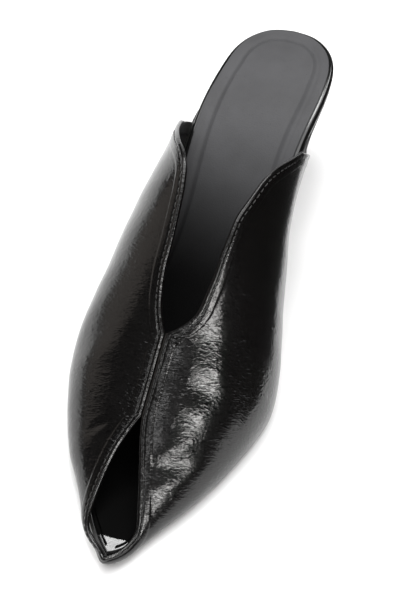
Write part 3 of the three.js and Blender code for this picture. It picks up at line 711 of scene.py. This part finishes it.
class Upper:
    """The upper as one closed sheet: each step along it is a loop up the outside, over the rounded edge,
    down the inside and back under the wall."""

    def __init__(self):
        half = np.concatenate([np.linspace(a, b, n, endpoint=False) for a, b, n in STRETCHES] + [[1.0]])
        self.w = np.concatenate([-half[::-1], half[1:]])
        w = self.w[:, None]
        reach = trim(self.w)[:, None]
        fine = np.linspace(0, 1, RIB_STEPS)[None]
        ribs = last(w, reach * (1 - fine))
        rim = ribs[:, 0]
        step = np.linalg.norm(np.diff(ribs, axis=1), axis=2)
        run = np.concatenate([np.zeros_like(w), np.cumsum(step, 1)], 1)
        total = run[:, -1:]
        self.along = unit(np.gradient(rim, axis=0))
        down = unit(ribs[:, 1] - rim)
        slant = np.clip(np.linalg.norm(np.cross(self.along, down), axis=1), SLANT_LEAST, 1)[:, None]
        near = NEAR_EDGE / slant
        self.fit = np.minimum(1, NEAR_SHARE * total / near[:, -1:])
        near = near * self.fit
        rest = np.linspace(0, 1, REST_ROWS + 1)[1:]
        arcs = np.concatenate([near, near[:, -1:] + (total - near[:, -1:]) * rest], 1)
        before = np.clip((run[:, :, None] < arcs[:, None, :]).sum(1) - 1, 0, fine.size - 2)
        low = np.take_along_axis(run, before, 1)
        high = np.take_along_axis(run, before + 1, 1)
        part = np.clip((arcs - low) / np.maximum(high - low, 1e-9), 0, 1)
        s = reach * (1 - (before + part) / (fine.size - 1))
        skin = last(w, s)
        tip = np.abs(w) < TIP_BLEND
        either = unit(outward(np.full_like(w, TIP_BLEND), s) + outward(np.full_like(w, -TIP_BLEND), s))
        self.normal = np.where(tip[..., None], either, outward(w, s))
        up = np.linspace(0, 1, END_STEPS)
        ends = [last(side, trim(np.array([side])) * up) for side in (-1.0, 1.0)]
        border = refined(np.concatenate([ends[0], rim, ends[1][::-1]]), BORDER_STEP)
        self.edge_gap = distance_to(skin, border)[0]
        above = np.linalg.norm(np.diff(last(w, 1 - fine * (1 - reach)), axis=1), axis=2).sum(1)[:, None]
        side = np.where(w < 0, -1, 1)
        walk = distances(last(self.w, 0.5))
        self.u = np.broadcast_to((walk - walk[np.argmin(np.abs(self.w))])[:, None], s.shape)
        self.v = side * (above + arcs)
        self.outer = skin + self.normal * self.relief(skin)[..., None]
        self.skin = skin

    def relief(self, skin):
        """Height of the outside over the last: the turned edge, the pull of its stitches, slow waves and
        creases."""
        gap = self.edge_gap
        height = FOLD_RISE * (1 - ease(FOLD - FOLD_SOFT, FOLD + FOLD_SOFT, gap))
        height = height - STITCH_DIP * bump_at(gap, STITCH_LINE, STITCH_WIDE)
        height = height + slow_waves(self.u, self.v) * ease(*WAVES_FROM_TO, gap)
        for points, width, depth in CREASES:
            at = np.linspace(0, 1, len(points))
            fine = np.linspace(0, 1, 60)
            line = last(smooth(at, column(points, 0))(fine), smooth(at, column(points, 1))(fine))
            far, which = distance_to(skin, line)
            fade = np.sin(np.pi * fine)[which] ** 0.7
            lip = bump_at(far, 1.7 * width, 0.8 * width)
            height = height - depth * fade * (bump_at(far, 0, width) - 0.45 * lip)
        return height

    def loops(self):
        """The points of every loop, the middle of the wall at each, their places on the skin, and where the
        outside and the facing end."""
        normal = self.normal[:, :1]
        across = unit(np.cross(self.along[:, None], normal))
        downwards = self.skin[:, :1] - self.skin[:, 1:2]
        across = across * np.sign((across * downwards).sum(-1, keepdims=True))
        press = np.where((np.abs(self.w) <= THROAT_POINT) & (np.abs(self.w) >= SLIT_TOP), SEAM_PRESS, 0)
        radius = EDGE_ROUND * (1 - PLY_GROOVE * bump_at(EDGE_TURN, math.pi / 2, PLY_WIDTH))[None, :, None]
        centre = self.skin[:, :1] - normal * EDGE_ROUND
        forward = self.fit[..., None] + press[:, None, None] / EDGE_ROUND
        turn = EDGE_TURN[None, :, None]
        edge = centre + radius * (normal * np.cos(turn) + across * forward * np.sin(turn))
        inside = INSIDE_ROWS + list(range(len(NEAR_EDGE) + 1, self.skin.shape[1] - 1, INSIDE_SKIP))
        inside.append(self.skin.shape[1] - 1)
        gap = self.edge_gap[:, inside, None]
        depth = WALL - LINING_DEEPER * ease(FOLD - 0.1, FOLD + 0.25, gap)
        inner = self.skin[:, inside] - self.normal[:, inside] * depth
        wall = self.skin - self.normal * (WALL / 2)
        points = np.concatenate([self.outer[:, ::-1], edge, inner], 1)
        middle = np.concatenate([wall[:, ::-1], np.repeat(centre, edge.shape[1], 1), wall[:, inside]], 1)
        uv = np.stack([self.u, self.v], -1)
        uv = np.concatenate([uv[:, ::-1], np.repeat(uv[:, :1], edge.shape[1], 1), uv[:, inside]], 1)
        outer_end = self.skin.shape[1] + edge.shape[1] // 2
        facing_end = self.skin.shape[1] + edge.shape[1] + INSIDE_ROWS.index(FACING_ROW)
        return points, middle, uv, outer_end, facing_end

    def build(self):
        points, middle, uv, outer_end, facing_end = self.loops()
        for end, beside in ((0, 1), (-1, -2)):
            out = unit(middle[end] - middle[beside])
            caps = [middle[end] + (points[end] - middle[end]) * math.cos(a) + out * EDGE_ROUND * math.sin(a)
                    for a in END_TURN]
            more = np.array(caps[::-1] if end == 0 else caps)
            points = np.concatenate([more, points] if end == 0 else [points, more])
            same = np.repeat(uv[end][None], len(more), 0)
            uv = np.concatenate([same, uv] if end == 0 else [uv, same])
        rows, count = points.shape[:2]
        faces = grid_faces(rows, count, True)
        order = np.tile(np.arange(count), rows - 1)
        kinds = np.where(order < outer_end, 0, np.where(order < facing_end, 1, 2))
        caps = [np.arange(count)[::-1], np.arange(count) + (rows - 1) * count]
        return make_piece("upper_shell", points, faces, [OUTSIDE, FACING, LINING],
                          caps, uv, kinds, ["upper"])


upper = Upper()
upper.build()

# One stitch: a short thread that rises in the middle and goes down into the leather at both ends.
STITCH_PITCH = 2.9
STITCH_LENGTH = 2.35
STITCH_RADIUS = 0.24
STITCH_RINGS, STITCH_SIDES = 9, 6
STITCH_LIFT, STITCH_BOW = -0.05, 0.2
STITCH_FROM, STITCH_TO = 0.045, 0.985


def build_stitches():
    """Rows of stitches beside every edge: one capsule shape, repeated along the line at an even pitch."""
    t = np.linspace(-1, 1, STITCH_RINGS)
    around = np.arange(STITCH_SIDES) * 2 * math.pi / STITCH_SIDES
    thick = STITCH_RADIUS * np.sqrt(np.clip(1 - t**4, 0, 1))
    shape = np.stack(np.broadcast_arrays(
        (t * STITCH_LENGTH / 2)[:, None],
        thick[:, None] * np.cos(around),
        thick[:, None] * np.sin(around) + (STITCH_LIFT + STITCH_BOW * (1 - t**2))[:, None],
    ), -1).reshape(-1, 3)
    one = grid_faces(STITCH_RINGS, STITCH_SIDES, True)
    all_points, all_faces, count = [], [], 0
    for side in (-1, 1):
        a = upper.w * side
        chosen = (a >= STITCH_FROM) & (a <= STITCH_TO)
        line = upper.outer[chosen, STITCH_ROW]
        up = upper.normal[chosen, STITCH_ROW]
        run = distances(line)
        at = np.arange(STITCH_PITCH, run[-1] - STITCH_PITCH, STITCH_PITCH)
        centre = between(at, run, line)
        normal = unit(between(at, run, up))
        forward = unit(between(at + 0.5, run, line) - centre)
        axes = np.stack([forward, unit(np.cross(normal, forward)), normal], 1)
        made = centre[:, None] + np.einsum("pk,nkj->npj", shape, axes)
        faces = one[None] + (np.arange(len(at)) * len(shape))[:, None, None] + count
        all_points.append(made.reshape(-1, 3))
        all_faces.append(faces.reshape(-1, 4))
        count += made.shape[0] * made.shape[1]
    points, faces = np.concatenate(all_points), np.concatenate(all_faces)
    return make_piece("stitches", points, faces, [THREAD])


build_stitches()

# Points along each side of a flat piece, and how far from its two ends its middle line stops.
EDGE_STEPS = 230
SEAT_TURN, TOE_TURN = 30.0, 16.0
# Insets beyond the edge band shrink where the piece is narrow, to this share of the way to the middle line.
EDGE_BAND, SPOKE_SHARE = 2, 0.8


def slab(outline, tuck, low, high, profile):
    """Rings of a flat piece that follows the bed, from the middle of its underside out, over its edge and
    in to the middle of its top. A row of the profile is (share of the way from the edge to the middle line,
    distance from the edge, 0 for the underside or 1 for the top, lift)."""
    rows = np.linspace(0, 1, len(outline))
    at = np.linspace(0, 1, EDGE_STEPS)
    back = smooth(rows, column(outline, 0, LENGTH))(at)
    inner = smooth(rows, column(outline, 1, HALF_BALL))(at)
    outer = smooth(rows, column(outline, 2, HALF_BALL))(at)
    turn = np.clip(back, SEAT_TURN, back[-1] - TOE_TURN)
    spine = np.stack([np.interp(turn, back, (inner + outer) / 2), -turn], 1)
    edge = np.concatenate([np.stack([inner, -back], 1), np.stack([outer, -back], 1)[-2:0:-1]])
    spine = np.concatenate([spine, spine[-2:0:-1]])
    spoke = spine - edge
    length = np.linalg.norm(spoke, axis=1)[:, None]
    spoke = spoke / length
    side = -spoke[:, :1]
    start = tuck(edge[:, 1:2], side)
    widest = max(row[1] for row in profile)
    fit = np.minimum(1, SPOKE_SHARE * (length - start) / max(widest, 1e-6))
    rings = []
    for share, inset, top, lift in profile:
        travel = start + inset * (fit if inset > EDGE_BAND else 1)
        travel = travel + (length - travel) * share
        xy = edge + spoke * travel
        level = high(xy[:, 1:], travel - start, side) if top else low(xy[:, 1:])
        rings.append(np.column_stack([xy, level + lift]))
    return np.array(rings)


def share_rows(first, final, count, top, inset=0.0):
    """Rows of a profile spread evenly between the edge and the middle line."""
    return [(share, inset, top, 0.0) for share in np.linspace(first, final, count)]


def build_slab(name, rings, materials, stands_for, kinds=None):
    faces = grid_faces(*rings.shape[:2], True)
    return make_piece(name, rings, faces, materials, kinds=kinds, stands_for=stands_for)


def top_round(angles, radius):
    """Rows of a profile over a rounded upper edge, at angles in degrees from its side."""
    turns = np.radians(angles)
    return [(0, radius * (1 - math.cos(a)), 1, -radius * (1 - math.sin(a))) for a in turns]


def no_tuck(y, side):
    return np.zeros_like(y)


SOLE_ROUND = 1.1


def build_outsole():
    profile = share_rows(1, 0, 14, 0, inset=SOLE_ROUND)
    for angle in np.radians([22, 45, 68, 90]):
        profile.append((0, SOLE_ROUND * (1 - math.sin(angle)), 0, SOLE_ROUND * (1 - math.cos(angle))))
    profile += [(0, 0, 1, -0.3), (0, 0.09, 1, -0.09), (0, 0.3, 1, 0)]
    profile += share_rows(0, 1, 5, 1, inset=0.3)[1:]
    rings = slab(SOLE_OUTLINE, no_tuck, sole_bottom, lambda y, inset, side: bed(y), profile)
    return build_slab("sole", rings, [UNDERSIDE], ["outsole"])


BOARD_ROUND = 1.5


def build_board():
    profile = share_rows(1, 0, 5, 0, inset=0.5) + [(0, 0.15, 0, 0.15), (0, 0, 0, 0.5)]
    profile += top_round([0, 18, 36, 54, 72, 90], BOARD_ROUND)
    profile += share_rows(0, 1, 12, 1, inset=BOARD_ROUND)[1:]
    low = lambda y: bed(y) + GAP
    rings = slab(BOARD_OUTLINE, no_tuck, low, lambda y, inset, side: board_top(y), profile)
    return build_slab("wrapped_board", rings, [WRAP], ["insole_board"])


SOCK_ROUND = 0.5
# How far the sock's edge is inside the board's: on its inner and outer side, and at the toe.
SOCK_MEDIAL, SOCK_LATERAL, SOCK_AT_TOE = 1.9, 2.1, 0.8
# The pad: where it starts from the sock's edge and how much that shifts from side to side, its slope, its
# rise and the crown over it.
PAD_INSET, PAD_SIDE = 5.7, -0.1
PAD_SLOPE, PAD_RISE = 2.0, 1.0
PAD_CROWN, PAD_CROWN_WIDE = 0.5, 16
# The pad's slope and crown are modelled in close rows up to here.
PAD_TO = 17
PAD_FRONT = (0.6 * LENGTH, 0.72 * LENGTH)
CHANNEL_DEPTH, CHANNEL_WIDTH = 0.34, 0.7


# The sock turns to a near-black, dull leather here, painted shade for the deep inside of the toe, and the
# glossy wrap shows beyond the second line.
TOE_PAINTED_SHADE_FROM, TOE_PATCH = 0.66 * LENGTH, 0.955 * LENGTH


def sock_tuck(y, side):
    seat = SOCK_MEDIAL + (SOCK_LATERAL - SOCK_MEDIAL) * (side + 1) / 2
    return by_part(y, SOCK_AT_TOE, 0) + by_part(y, 0, 1) * seat


def sock_surface(y, inset, side):
    """Top of the sock: flat at its border, a pressed channel, then the pad, slightly crowned."""
    border = PAD_INSET + PAD_SIDE * side
    forward = 1 - ease(*PAD_FRONT, -y)
    pad = PAD_RISE * ease(border, border + PAD_SLOPE, inset)
    pad = pad + PAD_CROWN * ease(border, border + PAD_CROWN_WIDE, inset)
    channel = CHANNEL_DEPTH * bump_at(inset, border - 0.5, CHANNEL_WIDTH)
    return sock_top(y) + (pad - channel) * forward


def build_sock():
    profile = share_rows(1, 0, 4, 0) + top_round([0, 30, 60, 90], SOCK_ROUND)
    insets = np.concatenate([np.arange(1, 7, 1.0), np.arange(7, PAD_TO, 0.45)])
    profile += [(0, inset, 1, 0) for inset in insets]
    profile += share_rows(0, 1, 22, 1, inset=PAD_TO - 0.1)[1:]
    low = lambda y: board_top(y) + GAP
    rings = slab(BOARD_OUTLINE, sock_tuck, low, sock_surface, profile)
    back = -rings[:-1, :, 1].ravel()
    # The sock's front takes the near-black painted-shade leather, and its last stretch the glossy wrap.
    kinds = (back > TOE_PAINTED_SHADE_FROM).astype(int) + (back > TOE_PATCH)
    sock = build_slab("sock_pad", rings, [SOCK, TOE_PAINTED_SHADE, WRAP], ["sock"], kinds=kinds)
    return sock


build_outsole()
build_board()
build_sock()

HEEL_SIDES = 132
HEEL_LEVELS = 64
HEEL_EDGE = 0.4
TOP_PIECE_INSET = 0.4


def heel_ring(rise, inset):
    """One ring of the heel: a superellipse, made smaller all round by the inset."""
    rises = column(HEEL, 0)
    back, front, half, square = [float(smooth(rises, column(HEEL, k))(rise)) for k in (1, 2, 3, 4)]
    turn = (np.arange(HEEL_SIDES) + 0.5) / HEEL_SIDES * 2 * math.pi
    x = np.sign(np.sin(turn)) * np.abs(np.sin(turn)) ** (2 / square)
    y = np.sign(np.cos(turn)) * np.abs(np.cos(turn)) ** (2 / square)
    wide = half * HALF_BALL - inset
    deep = (front - back) / 2 * LENGTH - inset
    return np.stack([HEEL_ACROSS * HALF_BALL + x * wide, -(back + front) / 2 * LENGTH + y * deep], 1)


def end_strips(start, upwards):
    """Quads across a ring from side to side, so that its end follows a slope."""
    k = np.arange(HEEL_SIDES // 2 - 1)
    mate = HEEL_SIDES - 1 - k
    quads = np.stack([k, k + 1, mate - 1, mate], 1) + start
    return quads[:, ::-1] if upwards else quads


def build_stack(name, rings, material, stands_for):
    """Rings from the lowest to the highest, closed across both ends."""
    sides = grid_faces(len(rings), HEEL_SIDES, True)[:, ::-1]
    faces = np.concatenate([sides, end_strips(0, False), end_strips((len(rings) - 1) * HEEL_SIDES, True)])
    return make_piece(name, rings, faces, [material], stands_for=stands_for)


def build_heel():
    rings = []
    levels = np.concatenate([[0, 0.004], np.linspace(0.012, 0.992, HEEL_LEVELS), [0.997, 1]])
    soft_edge = np.array([HEEL_EDGE, HEEL_EDGE * 0.3])
    insets = np.concatenate([soft_edge, np.zeros(HEEL_LEVELS), soft_edge[::-1]])
    for rise, inset in zip(levels, insets):
        xy = heel_ring(rise, inset)
        roof = sole_bottom(xy[:, 1]) - GAP
        rings.append(np.column_stack([xy, TOP_PIECE + rise * (roof - TOP_PIECE)]))
    return build_stack("heel_spool", np.array(rings), LACQUER, ["heel"])


# The top piece from the floor up. Columns: height; how far it is set in there.
TOP_PIECE_EDGE = [(0, 0.7), (0.12, 0.35), (0.4, 0.1), (0.8, 0), (4.6, 0), (4.9, 0.1), (TOP_PIECE, 0.4)]


def build_top_piece():
    rings = []
    for height, inset in TOP_PIECE_EDGE:
        xy = heel_ring(0, TOP_PIECE_INSET + inset)
        rings.append(np.column_stack([xy, np.full(len(xy), height)]))
    return build_stack("top_piece_block", np.array(rings), RUBBER, ["top_piece"])


build_heel()
build_top_piece()

FLOOR_RADIUS, FLOOR_SIDES = 1.3, 96


def stage_sheet(name, points, faces, material):
    """A floor or card from points in metres, which is no part of the shoe."""
    mesh = bpy.data.meshes.new(name)
    mesh.from_pydata(points, [], faces)
    mesh.materials.append(material)
    sheet = added(name, mesh)
    return sheet


def build_floor():
    turn = np.arange(FLOOR_SIDES) * 2 * math.pi / FLOOR_SIDES
    rim = np.stack([np.cos(turn), np.sin(turn), 0 * turn], 1) * FLOOR_RADIUS
    stage_sheet("floor", rim.tolist(), [list(range(FLOOR_SIDES))], floor_material())


# A bent black card beside the outer side, put up against glare: only reflections show it. Its corners from
# above and its height, in metres.
CARD = [(0.130, -0.072), (0.096, -0.035), (0.078, 0.0), (0.056, 0.045), (0.048, 0.07), (0.048, 0.15)]
CARD_TALL = 0.095


def build_card():
    corners = [(x, y, z) for z in (0, CARD_TALL) for x, y in CARD]
    card = stage_sheet("black_card", corners, grid_faces(2, len(CARD), False).tolist(), RUBBER)
    card.visible_camera = card.visible_diffuse = card.visible_shadow = False


SHOE_AT = Vector((0.0, -0.02, 0.03))
WHITE = (1.0, 1.0, 1.0)
# Softboxes. Columns: name; turn and height in degrees as seen from the shoe; distance, width and height in
# metres; brightness; colour. The turn is counted from the toe's side towards the outer side of the foot.
SOFTBOXES = [
    ("overhead", 195, 84, 2.0, 2.4, 2.0, 2.9, WHITE),
    ("rear", 195, 67, 1.3, 0.5, 0.28, 12.0, WHITE),
    ("rear_outer_side", 148, 47, 1.3, 0.5, 0.36, 8.5, WHITE),
    ("rear_inner_side", -160, 22, 1.4, 0.7, 0.5, 1.3, WHITE),
    ("key", 34.5, 30.5, 1.2, 0.50, 0.15, 17.5, (1.0, 0.985, 0.97)),
    ("front", -4, 49, 1.2, 0.17, 0.14, 6.5, WHITE),
    ("inner_side", -82, 19.5, 0.375, 0.25, 0.2, 0.45, (1.0, 0.9, 0.82)),
]
AREA_POWER = 4.0


def build_lights():
    for name, turn, height, distance, wide, high, bright, colour in SOFTBOXES:
        a, e = math.radians(turn), math.radians(height)
        away = Vector((math.sin(a) * math.cos(e), -math.cos(a) * math.cos(e), math.sin(e)))
        light = bpy.data.lights.new(name, "AREA")
        light.shape = "RECTANGLE"
        light.size, light.size_y = wide, high
        light.energy = AREA_POWER * bright * wide * high
        light.color = colour
        lamp = added(name, light)
        lamp.location = SHOE_AT + away * distance
        lamp.rotation_mode = "QUATERNION"
        lamp.rotation_quaternion = away.to_track_quat("Z", "Y")
        lamp.visible_camera = False


def build_world():
    """A dim room for the reflections, and a pale backdrop where the camera looks past the floor."""
    world = bpy.data.worlds.new("studio")
    world.use_nodes = True
    tree = world.node_tree
    seen = node(tree, "ShaderNodeLightPath").outputs["Is Camera Ray"]
    colour = mixed(tree, seen, (0.05, 0.05, 0.052, 1), (1, 1, 1, 1))
    feed(tree, tree.nodes["Background"], {"Color": colour})
    bpy.context.scene.world = world


build_floor()
build_card()
build_lights()
build_world()
scene = bpy.context.scene
scene.view_settings.view_transform = "Standard"
scene.view_settings.look = "None"
